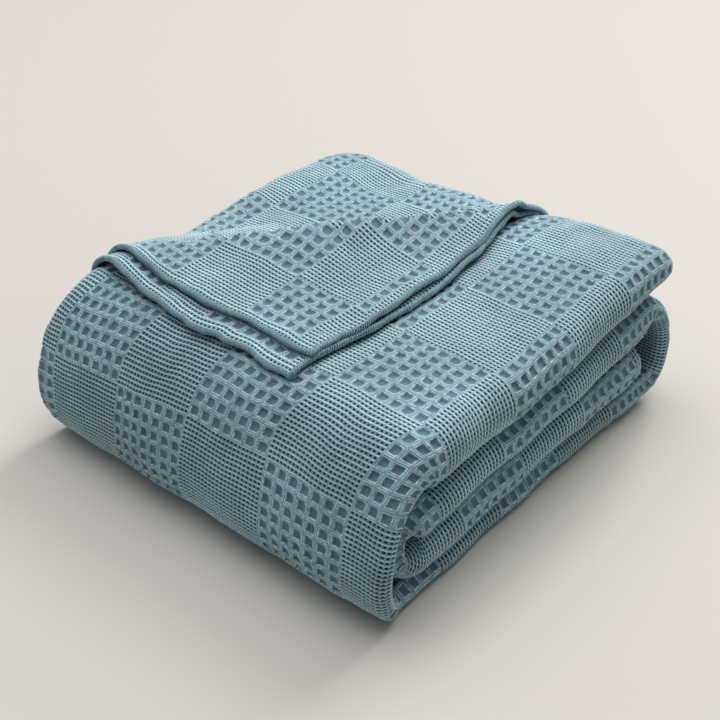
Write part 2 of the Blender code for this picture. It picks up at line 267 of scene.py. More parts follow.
# The left end of the big roll swells out at its shoulder: how far, at what height, over what reach of
# height, Y and X
SHOULDER, SHOULDER_Z, SHOULDER_HIGH, SHOULDER_DEEP, SHOULDER_LONG = 0.004, 0.116, 0.030, 0.055, 0.10
# The whole stack is softly uneven: by how much, between which heights that grows, and its waves, as their
# turns along X, Y and Z, in radians to the metre, and their start
SOFT, SOFT_HIGH = 0.0016, (0.01, 0.15)
SOFT_UP, SOFT_UP_ACROSS = (21.0, 9.0, 0.0, 0.0), (-6.0, 17.0, 0.0, 0.0)
SOFT_X, SOFT_Y = (0.0, 19.0, 31.0, 0.0), (23.0, 0.0, 11.0, 1.0)
CLOTH = 0.0030  # the thickness of the cloth: its middle stays half of this over the floor


def phase(turns, *places):
    """How far a wave has turned at some places, from its turns along each axis and its start."""
    return sum(turn * place for turn, place in zip(turns, places)) + turns[-1]


def behind_crest(x, y):
    """How far behind the crest a place lies, in metres."""
    slope = np.gradient(CREST_Y, CREST_X)
    square = 1.0 / np.sqrt(1.0 + np.interp(x, CREST_X, slope) ** 2)
    return (y - np.interp(x, CREST_X, CREST_Y) + CREST_FORWARD) * square


def crest_lift(x, y):
    """How far the cover stands up at a place: the crease rises gently and falls steeply behind."""
    behind = behind_crest(x, y)
    width = np.where(behind > 0.0, CREST_BACK, CREST_FRONT)
    away = np.hypot(behind, CREST_ROUND) - CREST_ROUND
    near = CREST_STEEP * np.exp(-away / np.where(behind > 0.0, CREST_BACK, CREST_NEAR))
    return np.interp(x, CREST_X, CREST_HEIGHT) * (np.exp(-away / width) + near)


def behind_fall(x, y):
    """How far along the line of the fall a place lies, from 0 to 1, and how far behind it, in metres."""
    (x0, y0), (x1, y1) = FALL_FROM, FALL_TO
    length = math.hypot(x1 - x0, y1 - y0)
    along_x, along_y = (x1 - x0) / length, (y1 - y0) / length
    share = ((x - x0) * along_x + (y - y0) * along_y) / length
    return share, -(x - x0) * along_y + (y - y0) * along_x


def settle(x, y, z):
    """The sag and unevenness of the whole stack, the same for all that lies at one place."""
    share, behind = behind_fall(x, y)
    start = BACK_FROM_LEFT + (BACK_FROM_RIGHT - BACK_FROM_LEFT) * ramp(share, *BACK_CHANGE)
    back = DROP_BACK + (DROP_RIGHT - DROP_BACK) * ramp(x, *RIGHT_PART)
    gentle = ramp(behind, start, BACK_TO)
    sharp = ramp(behind_crest(x, y), 0.0, CREST_FALL) * ramp(share, *SHARP_FROM)
    sharp = sharp * (1.0 - ramp(share, *SHARP_TO))
    drop = (DROP_LEFT + (back - DROP_LEFT) * ramp(y, *BACK_PART)) * np.maximum(gentle, sharp)
    drop -= RIGHT_LIFT * ramp(x, *RIGHT_PART) * ramp(y, *BACK_PART)
    left = 1.0 - ramp(x, *LEFT_END)
    drop += left * (np.interp(behind, LEFT_BEHIND, LEFT_DROP) - drop)
    high = ramp(z, *SOFT_HIGH)
    z_new = z * (1.0 - drop)
    z_new += SOFT * high * np.sin(phase(SOFT_UP, x, y, z)) * np.cos(phase(SOFT_UP_ACROSS, x, y, z))
    x_new = x + SOFT * np.sin(phase(SOFT_X, x, y, z))
    shoulder = np.exp(-((z - SHOULDER_Z) / SHOULDER_HIGH) ** 2) * (1.0 - ramp(y, 0.0, SHOULDER_DEEP))
    x_new = x_new - SHOULDER * shoulder * (1.0 - ramp(x, 0.0, SHOULDER_LONG))
    y_new = y + SOFT * high * np.sin(phase(SOFT_Y, x, y, z))
    return np.stack([x_new, y_new, np.maximum(z_new, CLOTH / 2.0)], axis=-1)


PATH = strip_path()
# Where the end hems lie: the last quarter of the big roll and the top run, up to the nose
TOP = PATH[-(STEPS // 4 + (STEPS - 2) + STEPS):-STEPS]


def cloth_points(columns, rows):
    """The middle of the cloth at each column and row, both given as rising lists: an array of points."""
    upper, lower = cover_share(columns)
    points = np.zeros((len(columns), len(rows), 3))
    for number, row in enumerate(rows):
        along = (row - FIRST_ROW) * CELL
        y, spread, right, left = (
            np.interp(along, PATH[:, ALONG], PATH[:, k]) for k in (Y, SPREAD, RIGHT, LEFT)
        )
        cut = section(along, y, spread, right, left)
        x = np.interp(columns, cut[:, 0], cut[:, 1])
        height = np.interp(columns, cut[:, 0], cut[:, 2])
        skew = ROLL_SKEW * (1.0 - ramp(x, *ROLL_SKEW_X)) * ramp(along, *ROLL_SKEW_FROM)
        skew = skew * (1.0 - ramp(along, *ROLL_SKEW_TO))
        place = along - skew * ((columns < D_LEFT) & (columns > C_LEFT))
        for hem, first, share in zip(HEMS, (LOWER_ROW, UPPER_ROW), (lower, upper)):
            _, y_left, y_middle = hem[:3]
            wanted = y_left + (y_middle - y_left) * ramp(x, HEM_LEFT, HEM_MIDDLE)
            hem_along = np.interp(wanted, TOP[:, Y], TOP[:, ALONG])
            slip = SLIP * (1.0 - ramp(row, *SLIP_FADE))
            slant = hem_along - ((first - FIRST_ROW) * CELL - SLIP)
            fade = max(0.0, 1.0 - max(0.0, row - first) / HEM_FADE)
            place = place + share * (slant * fade - slip)
        y, z, spread, out_y, out_z, turn = (
            np.interp(place, PATH[:, ALONG], PATH[:, k]) for k in (Y, Z, SPREAD, OUT_Y, OUT_Z, TURN)
        )
        meet = NOSE_LINE * spread
        level = -meet + (height + meet) * np.cos(turn)
        reach = (NOSE + np.maximum(height, 0.0)) * np.sin(turn)
        narrow = NOSE_ROUND * (2.0 * x / LENGTH - 1.0) ** NOSE_POWER * (1.0 - np.cos(turn))
        x, y, z = x - narrow, y + out_z * reach + out_y * level, z - out_y * reach + out_z * level
        z = z + crest_lift(x, y) * upper + crest_lift(x, y + CREST_APART) * LOWER_SHARE * lower
        points[:, number] = settle(x, y, z)
    return points


# The cells of the weave, each from ridge to ridge. A large one is a hollow with rounded corners, a fine one
# has three small holes each way. Patches of seven cells take turns, as on a chessboard.
# Heights over the middle of the cloth: ridges, the top of a hollow's wall, its floor, small holes
RIDGE, WALL_TOP, HOLLOW_FLOOR = 0.00155, 0.00115, -0.00070
FINE_RIDGE, FINE_HOLE = 0.00145, -0.00030
FLOOR_RISE = (-0.02, 0.22)  # the least and the most of its depth by which a hollow's floor stands higher
BACK = 0.00140  # how far the plain side lies from the middle
OPENING, OPENING_CORNER = 0.348, 0.15  # half a hollow's width at its top, and how far its corners are cut
FLOOR_OPENING, FLOOR_CORNER = 0.275, 0.12  # the same at its floor
# The first column and row of each patch; near the cover's side hems they are counted from the hem
PATCH_COLUMNS = (
    [LOWER_HEM + 9, LOWER_HEM + 14] + [PATCH * k for k in range(-10, 6)]
    + [UPPER_HEM - k for k in (28, 21, 14, 7, 2)]
)
PATCH_ROWS = [PATCH * k for k in range(-1, 23)]
# Behind the crest the cover's patches go on this much further, as some cloth is tucked into the crease
TUCKED_COLUMNS, TUCKED_ROWS = 3, 2
# The parts of the strip that show: columns from and to, rows from and to
FACE = (INNER_FROM, 36, 98, ROW_END)  # the roll's front and top
COVERED = (0, 18, 125, ROW_END)  # what the cover hides of them
ENDS_AND_BACK = ((27, 36, ROW_FROM, ROW_END), (-4, 1, ROW_FROM, ROW_END), (INNER_FROM, 36, 58, 78))
PEEPING = 5  # how many cells of the lower cover ply show next to its hems
EMPTY, HIDDEN, FINE, LARGE, HEM = range(5)  # kinds of cell

column_cells, row_cells = np.arange(LOWER_HEM, UPPER_HEM), np.arange(ROW_FROM, ROW_END)
COLUMN, ROW = np.meshgrid(column_cells, row_cells, indexing="ij")
is_upper, is_lower = COLUMN >= D_LEFT, COLUMN < C_LEFT


def charted(column, row):
    """True where a cell belongs to a patch of large cells."""
    patch_column = np.searchsorted(PATCH_COLUMNS, column, side="right")
    patch_row = np.searchsorted(PATCH_ROWS, row, side="right")
    return (patch_column + patch_row) % 2 == 1


# The middle of the cloth on a lattice of six lines a cell
FINER = 6
lattice_columns = np.arange(LOWER_HEM * FINER, UPPER_HEM * FINER + 1) / FINER
lattice_rows = np.arange(ROW_FROM * FINER, ROW_END * FINER + 1) / FINER
middle = cloth_points(lattice_columns, lattice_rows)
cell_middle = middle[FINER // 2::FINER, FINER // 2::FINER]
past = behind_crest(cell_middle[..., 0], cell_middle[..., 1])
past_crest = is_upper & (ROW >= UPPER_ROW) & (past > 0.0)
large = np.where(past_crest, charted(COLUMN - TUCKED_COLUMNS, ROW - TUCKED_ROWS), charted(COLUMN, ROW))
large &= ~(past_crest & (past < CREST_FALL))  # the crest's steep back is fine all over


def within(column_from, column_to, row_from, row_to):
    """Which cells lie in a part of the cloth."""
    return (COLUMN >= column_from) & (COLUMN < column_to) & (ROW >= row_from) & (ROW < row_to)


shows = within(*FACE) & ~within(*COVERED)
for part in ENDS_AND_BACK:
    shows |= within(*part)
shows |= is_upper
shows |= is_lower & ((ROW < LOWER_ROW + PEEPING) | (COLUMN < LOWER_HEM + PEEPING))
kind = np.where(shows, np.where(large, LARGE, FINE), HIDDEN)
kind[is_upper & ((ROW == UPPER_ROW) | (COLUMN == UPPER_HEM - 1))] = HEM
kind[is_lower & ((ROW == LOWER_ROW) | (COLUMN == LOWER_HEM))] = HEM
kind[is_upper & (ROW < UPPER_ROW)] = EMPTY
kind[is_lower & (ROW < LOWER_ROW)] = EMPTY
kind[(COLUMN < INNER_FROM) & (ROW >= ROW_LAST)] = EMPTY

# The cover arches up where it comes round the left end: how high, where, and how far along X and Y
ARCH, ARCH_X, ARCH_Y, ARCH_WIDE, ARCH_DEEP = 0.0095, 0.044, 0.060, 0.025, 0.034
arch = ((middle[..., 0] - ARCH_X) / ARCH_WIDE) ** 2 + ((middle[..., 1] - ARCH_Y) / ARCH_DEEP) ** 2
middle[..., 2] += ARCH * np.exp(-arch) * sum(cover_share(lattice_columns))[:, None]
normal = np.cross(np.gradient(middle, axis=0), np.gradient(middle, axis=1))
normal /= np.maximum(np.linalg.norm(normal, axis=2), 1e-12)[..., None]

# A patch of large cells puffs up a little over the fine ones beside it, and no two cells are quite alike
PUFF, PUFF_ROUNDS = 0.0011, 3  # how high, and how often the steps between patches are evened out
# How far the cells stray from their lattice, in cells: each by itself, more so at the hems, and slowly from
# one to the next; and how far their heights stray
CELL_SHIFT, RAGGED, SLOW_SHIFT, LUMP = 0.045, 0.110, 0.055, 0.00050
# The slow waves, as their turns by column and by row, in radians, and their start
SLOW_COLUMNS = (0.61, 0.23, 0.0), (-0.19, 0.37, 1.0)
SLOW_ROWS = (0.29, -0.53, 2.0), (0.41, 0.17, 0.0)
# The whole stack is a little crooked: how far it strays sideways, and up and down, and between which heights
# that grows. Its waves are given as the soft ones above.
CROOKED, UNEVEN, UNEVEN_HIGH = 0.0008, 0.0007, (0.02, 0.15)
CROOKED_X, CROOKED_Y = (33.0, 74.0, 12.0, 0.0), (66.0, -28.0, 9.0, 1.0)
UNEVEN_UP, UNEVEN_ACROSS = (88.0, 35.0, 0.0, 0.0), (-44.0, 71.0, 0.0, 0.0)
puff = np.pad((large & shows) * 1.0, ((0, 1), (0, 1)), mode="edge")
for _ in range(PUFF_ROUNDS):
    puff[1:-1, 1:-1] = (puff[:-2, 1:-1] + puff[2:, 1:-1] + puff[1:-1, :-2] + puff[1:-1, 2:]) / 4.0
dice = np.random.default_rng(11)
stray = dice.uniform(-1.0, 1.0, (*puff.shape, 3))


def between(values, columns, rows, finer=1):
    """Values given on a lattice, read between its lines."""
    last_i, last_j = values.shape[0] - 1.001, values.shape[1] - 1.001  # just short of the last lines
    i = np.clip((columns - LOWER_HEM) * finer, 0.0, last_i)
    j = np.clip((rows - ROW_FROM) * finer, 0.0, last_j)
    i0, j0 = i.astype(int), j.astype(int)
    i, j = i - i0, j - j0
    if values.ndim == 3:
        i, j = i[:, None], j[:, None]
    near = (1.0 - i) * values[i0, j0] + i * values[i0 + 1, j0]
    far = (1.0 - i) * values[i0, j0 + 1] + i * values[i0 + 1, j0 + 1]
    return (1.0 - j) * near + j * far


def on_cloth(columns, rows, heights):
    """Where points of the cloth lie, given by column, row and height over its middle."""
    off = between(stray, columns, rows)
    slow_columns, slow_rows = (
        np.sin(phase(wave, columns, rows)) * np.cos(phase(across, columns, rows))
        for wave, across in (SLOW_COLUMNS, SLOW_ROWS)
    )
    gap = np.minimum(UPPER_HEM - columns, columns - LOWER_HEM)
    gap = np.where((columns >= D_LEFT) & (rows >= UPPER_ROW), np.minimum(gap, rows - UPPER_ROW), gap)
    gap = np.where((columns <= C_LEFT) & (rows >= LOWER_ROW), np.minimum(gap, rows - LOWER_ROW), gap)
    shift = CELL_SHIFT + RAGGED * np.exp(-gap)
    i = columns + shift * off[:, 0] + SLOW_SHIFT * slow_columns
    j = rows + shift * off[:, 1] + SLOW_SHIFT * slow_rows
    lift = heights + np.sign(heights) * LUMP * off[:, 2]
    lift = lift + PUFF * between(puff, columns, rows) * np.where(columns > C_LEFT, 1.0, -1.0)
    found = between(middle, i, j, FINER) + between(normal, i, j, FINER) * lift[:, None]
    x, y, z = found.T
    uneven = UNEVEN * ramp(z, *UNEVEN_HIGH)
    return np.stack([
        x + CROOKED * np.sin(phase(CROOKED_X, x, y, z)),
        y + CROOKED * np.sin(phase(CROOKED_Y, x, y, z)),
        z + uneven * np.sin(phase(UNEVEN_UP, x, y, z)) * np.cos(phase(UNEVEN_ACROSS, x, y, z)),
    ], axis=1)


# The mesh. Its points are known by column, row and side, so that faces that meet share them, and the two
# sides share the points on the free edges.
UNIT = 3000  # places are counted in this part of a cell
FRONT, BEHIND = 0, 1
numbers, places, heights = {}, [], []
on_borders = {}  # the points on each line between cells
faces, face_kinds = [], []


def is_edge(column, row):
    """True on the free edges of the cloth."""
    if row <= ROW_FROM or row >= ROW_END or column <= LOWER_HEM or column >= UPPER_HEM:
        return True
    if column >= D_LEFT and row <= UPPER_ROW or column <= C_LEFT and row <= LOWER_ROW:
        return True
    return column <= INNER_FROM and row >= ROW_LAST


def point(column, row, height, side):
    """The number of the point at a place, which is made the first time that it is asked for."""
    i, j = round(column * UNIT), round(row * UNIT)
    edge = is_edge(i / UNIT, j / UNIT)
    key = (i, j, FRONT if edge else side)
    if key not in numbers:
        numbers[key] = len(places)
        places.append((i, j))
        heights.append(0.0 if edge else height)
        for layer in (FRONT, BEHIND) if edge else (side,):
            if i % UNIT == 0:
                on_borders.setdefault((0, i, layer), []).append((j, numbers[key]))
            if j % UNIT == 0:
                on_borders.setdefault((1, j, layer), []).append((i, numbers[key]))
    return numbers[key]


def add(ring, what, side):
    """A face, counter-clockwise by column and row on the front."""
    faces.append(ring if side == FRONT else ring[::-1])
    face_kinds.append((what, side))


def cut_square(half, corner):
    """The eight corners of a square with its corners cut, in the middle of a cell."""
    near, far = 0.5 - half, 0.5 + half
    return ((near + corner, near), (far - corner, near), (far, near + corner), (far, far - corner),
            (far - corner, far), (near + corner, far), (near, far - corner), (near, near + corner))


def large_cell(column, row, side, sign):
    """A hollow between four ridges."""
    deep = HOLLOW_FLOOR + (RIDGE - HOLLOW_FLOOR) * dice.uniform(*FLOOR_RISE)
    ridge, wall, bottom = (
        [point(column + u, row + v, sign * height, side) for u, v in corners]
        for corners, height in (
            (((0, 0), (1, 0), (1, 1), (0, 1)), RIDGE),
            (cut_square(OPENING, OPENING_CORNER), WALL_TOP),
            (cut_square(FLOOR_OPENING, FLOOR_CORNER), deep),
        )
    )
    add(bottom, LARGE, side)
    for k in range(8):
        add([wall[k], wall[(k + 1) % 8], bottom[(k + 1) % 8], bottom[k]], LARGE, side)
    for k in range(4):
        start, end = ridge[k], ridge[(k + 1) % 4]
        add([start, end, wall[2 * k + 1], wall[2 * k]], LARGE, side)
        add([end, wall[(2 * k + 2) % 8], wall[2 * k + 1]], LARGE, side)


THIRD = 1.0 / 3.0  # of a cell


def small_hole(column, row, side, sign):
    """A dip between four crossings of the threads, a third of a cell apart."""
    ring = [(column, row), (column + THIRD, row), (column + THIRD, row + THIRD), (column, row + THIRD)]
    ring = [point(u, v, sign * FINE_RIDGE, side) for u, v in ring]
    hole = point(column + THIRD / 2.0, row + THIRD / 2.0, sign * FINE_HOLE, side)
    for k in range(4):
        add([ring[k], ring[(k + 1) % 4], hole], FINE, side)


# The hem: the edge is rolled over to a round rim, just under a third of a cell wide
RIM, RIM_LEAST = 0.00250, 0.0009  # its radius, and its height where it ends
RIM_WIDE = CELL / 3.0 - 1e-5
RIM_LINES = (0.0, 0.0002, 0.0007, 0.0015, 0.0025, 0.0033, 0.0039)  # distances from the edge
BACK_LINES = (0.0, 0.0007, 0.0025)  # and on the plain side
NEARLY_THIRD = 0.3  # a part of a cell as wide as this is a whole third, and holds small holes


def rim_height(gap):
    """How far the rim's surface lies from the middle of the cloth, at a distance from the edge."""
    rise = math.sqrt(max(0.0, RIM ** 2 - (RIM - min(gap, 2.0 * RIM)) ** 2))
    return max(rise, RIM_LEAST) if gap > RIM else rise


def hem_cell(column, row, side, sign, plain):
    """A cell at a hem: its rim, and small holes in the rest of it unless this is its plain side."""
    flat = BACK if plain else FINE_RIDGE
    lines = [gap / CELL for gap in (BACK_LINES if plain else RIM_LINES)]
    inner = [THIRD, 1.0] if plain else [THIRD, 2.0 / 3.0, 1.0]
    us = vs = [0.0, THIRD, 2.0 / 3.0, 1.0]
    left, right, low = column == LOWER_HEM, column == UPPER_HEM - 1, row in (LOWER_ROW, UPPER_ROW)
    low = low and (column >= D_LEFT) == (row == UPPER_ROW)
    if left:
        us = lines + inner
    if right:
        us = [1.0 - u for u in (lines + inner)[::-1]]
    if low:
        vs = lines + inner

    def height(u, v):
        """The height of a place in the cell, each way from 0 to 1."""
        gap = min(u if left else 1.0, 1.0 - u if right else 1.0, v if low else 1.0) * CELL
        return rim_height(gap) if gap < RIM_WIDE else flat

    for u0, u1 in zip(us, us[1:]):
        for v0, v1 in zip(vs, vs[1:]):
            if not plain and min(u1 - u0, v1 - v0) > NEARLY_THIRD:
                small_hole(column + u0, row + v0, side, sign)
                continue
            on_rim = height(u0, v0) != flat or height(u1, v1) != flat
            ring = [
                point(column + u, row + v, sign * height(u, v), side)
                for u, v in ((u0, v0), (u1, v0), (u1, v1), (u0, v1))
            ]
            add(ring, HEM if on_rim else HIDDEN, side)


def plain_face(column, row, width, side, sign):
    """One face over a number of cells of a row, on a side or a part where the weave isn't modelled."""
    ring = [(column, row), (column + width, row), (column + width, row + 1), (column, row + 1)]
    what = HIDDEN if C_LEFT <= column < D_LEFT else FINE  # only the plies inside the roll get painted shade, for their deep gaps
    add([point(u, v, sign * BACK, side) for u, v in ring], what, side)


BLOCK = 4  # hidden cells that are made as one face


def block_width(i, j):
    """How many hidden cells make one face with the cell at this place, itself included."""
    width = 1
    while width < BLOCK - i % BLOCK and i + width < len(kind) and kind[i + width, j] == HIDDEN:
        if column_cells[i + width] == C_LEFT:
            break
        width += 1
    return width


for j, row in enumerate(row_cells):
    skip = 0
    for i, column in enumerate(column_cells):
        what = kind[i, j]
        sign = 1 if column >= C_LEFT else -1
        shown, unseen = (FRONT, BEHIND) if sign > 0 else (BEHIND, FRONT)
        if skip > 0:
            skip -= 1
            continue
        if what == LARGE:
            large_cell(column, row, shown, sign)
            plain_face(column, row, 1, unseen, -sign)
        elif what == FINE:
            for a in range(3):
                for b in range(3):
                    small_hole(column + a / 3.0, row + b / 3.0, shown, sign)
            plain_face(column, row, 1, unseen, -sign)
        elif what == HEM:
            hem_cell(column, row, shown, sign, False)
            hem_cell(column, row, unseen, -sign, True)
        elif what == HIDDEN:
            width = block_width(i, j)
            plain_face(column, row, width, shown, sign)
            plain_face(column, row, width, unseen, -sign)
            skip = width - 1

for line in on_borders.values():
    line.sort()


def closed(ring, side):
    """A face's ring with every other point that lies on its straight sides between cells."""
    full = []
    for start, end in zip(ring, ring[1:] + ring[:1]):
        full.append(start)
        (i0, j0), (i1, j1) = places[start], places[end]
        for axis, line, low, high, same in ((0, i0, j0, j1, i0 == i1), (1, j0, i0, i1, j0 == j1)):
            if same and line % UNIT == 0:
                known = on_borders.get((axis, line, side), [])
                first = bisect.bisect_right(known, (min(low, high), len(places)))
                last = bisect.bisect_left(known, (max(low, high), -1))
                found = [number for _, number in known[first:last]]
                full += found if low < high else found[::-1]
    return full


OVER_FLOOR = 0.0003  # no point lies lower than this
polygons = [closed(ring, side) for ring, (_, side) in zip(faces, face_kinds)]
grid = np.array(places) / UNIT
smooth = between(middle, grid[:, 0], grid[:, 1], FINER)
centre = (smooth.min(axis=0) + smooth.max(axis=0)) / 2.0
centre[2] = 0.0
points = on_cloth(grid[:, 0], grid[:, 1], np.array(heights)) - centre
points[:, 2] = np.maximum(points[:, 2], OVER_FLOOR)
mesh = bpy.data.meshes.new("blanket_cloth")
mesh.from_pydata(points.tolist(), [], polygons)
mesh.validate()
mesh.shade_smooth()
loops = np.zeros(len(mesh.loops), np.int32)
mesh.loops.foreach_get("vertex_index", loops)
weave = mesh.uv_layers.new(name="weave")
weave.data.foreach_set("uv", grid[loops].astype(np.float32).ravel())
# The inner flag marks the faces that are painted darker, as shade of the roll's deep gaps
for name, what in (("large", LARGE), ("rim", HEM), ("inner", HIDDEN)):
    flag = mesh.attributes.new(name, "FLOAT", "FACE")
    flag.data.foreach_set("value", np.array([known == what for known, _ in face_kinds], np.float32))


def added(name, data):
    """A new object, in the scene."""
    thing = bpy.data.objects.new(name, data)
    bpy.context.scene.collection.objects.link(thing)
    return thing


cloth = added("blanket_cloth", mesh)


def maths(tree, operation, *values):
    """A Math node; its inputs are numbers or other nodes' outputs."""
    node = tree.nodes.new("ShaderNodeMath")
    node.operation = operation
    for socket, value in zip(node.inputs, values):
        if isinstance(value, (int, float)):
            socket.default_value = value
        else:
            tree.links.new(value, socket)
    return node.outputs[0]


def times(tree, first, *others):
    """The product of values."""
    for other in others:
        first = maths(tree, "MULTIPLY", first, other)
    return first


def rest(tree, value):
    """What is left of 1 after a value."""
    return maths(tree, "SUBTRACT", 1.0, value)


def off_middle(tree, value):
    """How far a value lies from the middle between its two whole numbers."""
    return maths(tree, "ABSOLUTE", maths(tree, "SUBTRACT", maths(tree, "FRACT", value), 0.5))


def step(tree, value, low, high, to_low=0.0, to_high=1.0):
    """A smooth step of a value from low to high."""
    node = tree.nodes.new("ShaderNodeMapRange")
    node.interpolation_type = "SMOOTHSTEP"
    tree.links.new(value, node.inputs["Value"])
    node.inputs["From Min"].default_value = low
    node.inputs["From Max"].default_value = high
    node.inputs["To Min"].default_value = to_low
    node.inputs["To Max"].default_value = to_high
    return node.outputs["Result"]


def mixed(tree, share, first, second, blend="MIX"):
    """A mix of two colours, each a triple or another node's output."""
    node = tree.nodes.new("ShaderNodeMix")
    node.data_type = "RGBA"
    node.blend_type = blend
    for name, value in (("Factor", share), ("A", first), ("B", second)):
        socket = next(s for s in node.inputs if s.name == name and s.enabled)
        if isinstance(value, tuple):
            socket.default_value = (*value, 1.0)
        elif isinstance(value, float):
            socket.default_value = value
        else:
            tree.links.new(value, socket)
    return next(s for s in node.outputs if s.enabled)


def noise(tree, coordinates, scale, detail, *steps):
    """Noise of this scale and detail, with a smooth step over it if its ends are given."""
    node = tree.nodes.new("ShaderNodeTexNoise")
    node.inputs["Scale"].default_value = scale
    node.inputs["Detail"].default_value = detail
    tree.links.new(coordinates, node.inputs["Vector"])
    return step(tree, node.outputs["Fac"], *steps) if steps else node.outputs["Fac"]


def raised(tree, shader, height, strength, distance):
    """Gives a shader a bumpy face."""
    node = tree.nodes.new("ShaderNodeBump")
    node.inputs["Strength"].default_value = strength
    node.inputs["Distance"].default_value = distance
    tree.links.new(height, node.inputs["Height"])
    tree.links.new(node.outputs["Normal"], shader.inputs["Normal"])


def new_material(name, roughness):
    """A material, its tree and its shader."""
    made = bpy.data.materials.new(name)
    made.use_nodes = True
    shader = made.node_tree.nodes["Principled BSDF"]
    shader.inputs["Roughness"].default_value = roughness
    return made, made.node_tree, shader


SHADED_HOLLOW_COLOUR = (0.150, 0.248, 0.312)  # of a hollow, darker than the threads as painted shade
THREAD_COLOUR = (0.262, 0.432, 0.512)
PALE_THREAD_AND_HIGHLIGHT_COLOUR = (0.650, 0.860, 0.910)  # of the threads along the ridges, partly painted highlight
# the small holes are painted nearly black as painted shade
SHADED_HOLE_COLOUR = (0.006, 0.045, 0.080)
RIM_COLOUR = (0.190, 0.325, 0.380)
PAINTED_GAP_SHADE = 0.50  # painted shade: how much darker the plain side of the plies inside the roll is made, for the deep gaps between them
# In a large cell, by how far a place is from its middle: where the floor's painted shade ends, where two
# ridges cross, how far the pale lines along a ridge (partly painted highlight) are apart, and how wide they
# are by the cosine across them
FLOOR_ENDS, CROSSING = (FLOOR_OPENING - 0.03, FLOOR_OPENING + 0.05), (0.36, 0.46)
LINES_APART, LINES_WIDE = 0.155, (-0.3, 1.0)
# The same for a small hole in its third of a cell: where it and its painted shade end across and along the
# strip, and where the pale thread beside it, partly painted highlight, starts
HOLES = 3.0  # to a cell
HOLE_ACROSS, HOLE_ALONG, PALE_THREAD = (0.16, 0.36), (0.10, 0.30), (0.28, 0.46)
# Noises: scale, detail, the step over it from and to, and the values from and to
BREAKS = (260.0, 2.0, 0.30, 0.62)  # in the pale lines, partly painted highlight
FLECKS, PATCHY = (700.0, 3.0, 0.30, 0.70, 0.80, 1.16), (9.0, 2.0, 0.3, 0.7, 0.90, 1.10)  # in the cloth's tone, at random
FUZZ = (1300.0, 3.0)
# The share of the bump that the pale lines, the threads round small holes and the fuzz take
LINE_BUMP, THREAD_BUMP, FUZZ_BUMP = 0.4, 0.8, 0.6


def waffle_cotton():
    """Matt teal cotton: pale threads along the ridges (partly painted highlight), slate floors and dark
    small holes (painted shade), painted shade on the inner faces of the roll's gaps, and a fuzzy face.
    """
    material, tree, shader = new_material("teal waffle cotton", roughness=0.9)
    place = tree.nodes.new("ShaderNodeUVMap")
    place.uv_map = "weave"
    apart = tree.nodes.new("ShaderNodeSeparateXYZ")
    tree.links.new(place.outputs["UV"], apart.inputs[0])
    i, j = apart.outputs[0], apart.outputs[1]
    where = tree.nodes.new("ShaderNodeTexCoord").outputs["Object"]
    flags = {}
    for name in ("large", "rim", "inner"):
        flag = tree.nodes.new("ShaderNodeAttribute")
        flag.attribute_name = name
        flags[name] = flag.outputs["Fac"]
    # Large cells: the floor in painted shade, and the pale lines (partly painted highlight) along the
    # ridges, which end where two ridges cross
    a, b = off_middle(tree, i), off_middle(tree, j)
    most, least = maths(tree, "MAXIMUM", a, b), maths(tree, "MINIMUM", a, b)
    floor_share = step(tree, most, *FLOOR_ENDS, 1.0, 0.0)
    crossing = step(tree, least, *CROSSING)
    turned = times(tree, maths(tree, "SUBTRACT", 0.5, most), math.tau / LINES_APART)
    lines = step(tree, maths(tree, "COSINE", turned), *LINES_WIDE)
    lines = times(tree, lines, rest(tree, floor_share), rest(tree, crossing))
    cell_colour = times(tree, lines, noise(tree, where, *BREAKS))
    cell_colour = mixed(tree, cell_colour, THREAD_COLOUR, PALE_THREAD_AND_HIGHLIGHT_COLOUR)
    cell_colour = mixed(tree, floor_share, cell_colour, SHADED_HOLLOW_COLOUR)
    # Small holes in painted shade, and the pale thread on each side of them, partly painted highlight
    a, b = off_middle(tree, times(tree, i, HOLES)), off_middle(tree, times(tree, j, HOLES))
    hole = times(tree, step(tree, a, *HOLE_ACROSS, 1.0, 0.0), step(tree, b, *HOLE_ALONG, 1.0, 0.0))
    small_colour = mixed(tree, step(tree, b, *PALE_THREAD), THREAD_COLOUR, PALE_THREAD_AND_HIGHLIGHT_COLOUR)
    small_colour = mixed(tree, hole, small_colour, SHADED_HOLE_COLOUR)
    colour = mixed(tree, flags["large"], small_colour, cell_colour)
    colour = mixed(tree, flags["rim"], colour, RIM_COLOUR)
    uneven = times(tree, noise(tree, where, *FLECKS), noise(tree, where, *PATCHY))
    # Random tone, times painted shade on the inner faces for the roll's deep gaps
    tone_and_gap_shade = times(tree, uneven, rest(tree, times(tree, flags["inner"], PAINTED_GAP_SHADE)))
    tree.links.new(mixed(tree, 1.0, colour, tone_and_gap_shade, "MULTIPLY"), shader.inputs["Base Color"])
    shader.inputs["Sheen Weight"].default_value = 0.15
    shader.inputs["Sheen Roughness"].default_value = 0.6
    large_height = times(tree, flags["large"], times(tree, lines, LINE_BUMP))
    small_height = times(tree, rest(tree, flags["large"]), rest(tree, hole), THREAD_BUMP)
    height = maths(tree, "ADD", large_height, small_height)
    height = maths(tree, "ADD", height, times(tree, noise(tree, where, *FUZZ), FUZZ_BUMP))
    raised(tree, shader, height, strength=0.8, distance=0.0008)
    return material


cloth.data.materials.append(waffle_cotton())
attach(cloth, "root")
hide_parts("blanket")

# ---- The hem stitches --------------------------------------------------------
# The hems are overcast: one soft cotton thread goes round and round the rolled edge of both cover plies,
# a stitch every two millimetres or so, a little aslant.

